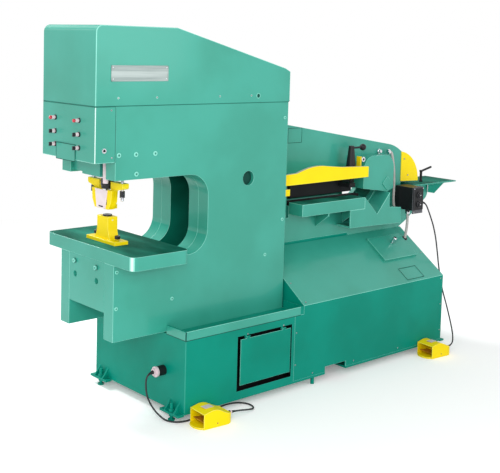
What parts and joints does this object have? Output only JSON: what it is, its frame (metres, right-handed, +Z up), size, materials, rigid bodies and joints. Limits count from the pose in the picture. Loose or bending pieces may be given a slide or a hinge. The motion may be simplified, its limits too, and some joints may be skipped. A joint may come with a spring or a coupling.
{
  "type": "hydraulic ironworker",
  "caption": "Floor-standing hydraulic ironworker: deep-throat punch at one end, flat and angle shears and a corner notcher at the other, with two foot pedals on cords.",
  "frame": {"origin": "centre of the machine's footprint on the floor, pedals and cords apart", "axes": "+X from the punch end to the notcher end, +Y from the working side to the rear, +Z up"},
  "size_m": [3.44, 1.0557, 2.192],
  "materials": {
    "green_paint": "satin",
    "yellow_paint": "satin",
    "black_plastic": "satin",
    "red_plastic": "gloss",
    "chrome_metal": "polished",
    "bright_steel": "brushed",
    "dark_steel": "satin",
    "clear_guard": "gloss",
    "motor_paint": "satin",
    "rubber_cord": "matte"
  },
  "bodies": {
    "frame": {"outer_plates": "green_paint", "inner_frame": "green_paint", "jaw_front_plate": "green_paint", "punch_table": "green_paint", "hood_cover": "green_paint", "nameplate": "bright_steel", "front_cover": "green_paint", "access_panel": "green_paint", "control_bezels": "black_plastic", "punch_cylinder": "green_paint", "ram_gland": "chrome_metal", "die_holder": "yellow_paint", "die": "dark_steel", "base_frame": "green_paint", "levelling_bolts": "dark_steel", "power_cover": "green_paint", "rear_cover": "green_paint", "hatch": "green_paint", "power_unit": "motor_paint", "shear_plates": "green_paint", "pivot_pin": "bright_steel", "shear_cylinder": "dark_steel", "lower_blade": "bright_steel", "shear_table": "green_paint", "angle_block": "green_paint", "angle_guard": "green_paint", "guard_bar": "yellow_paint", "notcher_table": "green_paint", "notcher_guard": "yellow_paint", "control_box": "black_plastic", "box_sockets": "chrome_metal", "conduits": "bright_steel", "pedal_guard_1": "yellow_paint", "pedal_guard_2": "yellow_paint", "cord_inlet": "black_plastic", "cord_1": "rubber_cord", "cord_2": "rubber_cord", "fasteners": "bright_steel"},
    "ram_body": {"ram": "chrome_metal", "coupling_nut": "dark_steel", "punch": "bright_steel"},
    "stripper_body": {"stripper": "yellow_paint", "stripper_guard": "clear_guard", "stripper_nuts": "dark_steel"},
    "start_button": {"start_button": "red_plastic"},
    "stop_button": {"stop_button": "red_plastic"},
    "selector_1": {"selector_1": "chrome_metal"},
    "selector_2": {"selector_2": "chrome_metal"},
    "selector_3": {"selector_3": "chrome_metal"},
    "selector_4": {"selector_4": "chrome_metal"},
    "side_latch": {"side_latch": "chrome_metal"},
    "slug_door": {"slug_door": "green_paint"},
    "hatch_knob": {"hatch_knob": "chrome_metal"},
    "shear_beam": {"shear_beam": "dark_steel"},
    "cylinder_rod": {"cylinder_rod": "chrome_metal"},
    "hold_down_foot": {"hold_down_foot": "dark_steel"},
    "hold_down_lever": {"hold_down_lever": "black_plastic"},
    "fence_lever": {"fence_lever": "black_plastic"},
    "treadle_1": {"treadle_1": "black_plastic"},
    "treadle_2": {"treadle_2": "black_plastic"}
  },
  "joints": [
    {"name": "ram_stroke", "type": "slide", "parent": "frame", "child": "ram_body", "axis": [0, 0, -1], "range_m": [0, 0.07]},
    {"name": "stripper_height", "type": "slide", "parent": "frame", "child": "stripper_body", "axis": [0, 0, 1], "range_m": [0, 0.012]},
    {"name": "start_push", "type": "slide", "parent": "frame", "child": "start_button", "axis": [1, 0, 0], "range_m": [0, 0.004], "stiffness_N_per_m": 1200, "springref_m": -0.002},
    {"name": "stop_push", "type": "slide", "parent": "frame", "child": "stop_button", "axis": [1, 0, 0], "range_m": [0, 0.004], "stiffness_N_per_m": 1200, "springref_m": -0.002},
    {"name": "selector_1_turn", "type": "hinge", "parent": "frame", "child": "selector_1", "pos_m": [-1.7, -0.112, 1.607], "axis": [1, 0, 0], "range_deg": [-45, 45]},
    {"name": "selector_2_turn", "type": "hinge", "parent": "frame", "child": "selector_2", "pos_m": [-1.7, 0.132, 1.607], "axis": [1, 0, 0], "range_deg": [-45, 45]},
    {"name": "selector_3_turn", "type": "hinge", "parent": "frame", "child": "selector_3", "pos_m": [-1.7, -0.112, 1.535], "axis": [1, 0, 0], "range_deg": [-45, 45]},
    {"name": "selector_4_turn", "type": "hinge", "parent": "frame", "child": "selector_4", "pos_m": [-1.7, 0.132, 1.535], "axis": [1, 0, 0], "range_deg": [-45, 45]},
    {"name": "latch_turn", "type": "hinge", "parent": "frame", "child": "side_latch", "pos_m": [-1.626, -0.27, 1.531], "axis": [0, 1, 0], "range_deg": [0, 90]},
    {"name": "slug_door_swing", "type": "hinge", "parent": "frame", "child": "slug_door", "pos_m": [-0.585, -0.442, 0.409], "axis": [-1, 0, 0], "range_deg": [0, 75]},
    {"name": "hatch_knob_turn", "type": "hinge", "parent": "frame", "child": "hatch_knob", "pos_m": [0.87468, -0.16216, 0.719], "axis": [0, -0.5694, 0.822], "range_deg": [0, 180]},
    {"name": "beam_swing", "type": "hinge", "parent": "frame", "child": "shear_beam", "pos_m": [-0.599, 0.07, 1.313], "axis": [0, 1, 0], "range_deg": [0, 2.2]},
    {"name": "rod_stroke", "type": "slide", "parent": "frame", "child": "cylinder_rod", "axis": [0, 0, -1], "range_m": [0, 0.06]},
    {"name": "hold_down_turn", "type": "hinge", "parent": "frame", "child": "hold_down_lever", "pos_m": [0.468, -0.12, 1.27], "axis": [0, 0, 1], "range_deg": [-180, 0]},
    {"name": "hold_down_stroke", "type": "slide", "parent": "frame", "child": "hold_down_foot", "axis": [0, 0, -1], "range_m": [0, 0.02]},
    {"name": "fence_turn", "type": "hinge", "parent": "frame", "child": "fence_lever", "pos_m": [1.413, 0.02, 1.107], "axis": [0, 0, 1], "range_deg": [-90, 90]},
    {"name": "treadle_1_press", "type": "hinge", "parent": "frame", "child": "treadle_1", "pos_m": [-1.06235, -0.52902, 0.022], "axis": [-0.0872, -0.9962, 0], "range_deg": [0, 9], "stiffness_Nm_per_rad": 12, "springref_deg": -8.59},
    {"name": "treadle_2_press", "type": "hinge", "parent": "frame", "child": "treadle_2", "pos_m": [0.93765, -0.53002, 0.022], "axis": [-0.0872, -0.9962, 0], "range_deg": [0, 9], "stiffness_Nm_per_rad": 12, "springref_deg": -8.59}
  ],
  "couplings": [
    {"joint": "rod_stroke", "follows": "beam_swing", "m_per_rad": 1.559},
    {"joint": "hold_down_turn", "follows": "hold_down_stroke", "rad_per_m": -157.08}
  ]
}
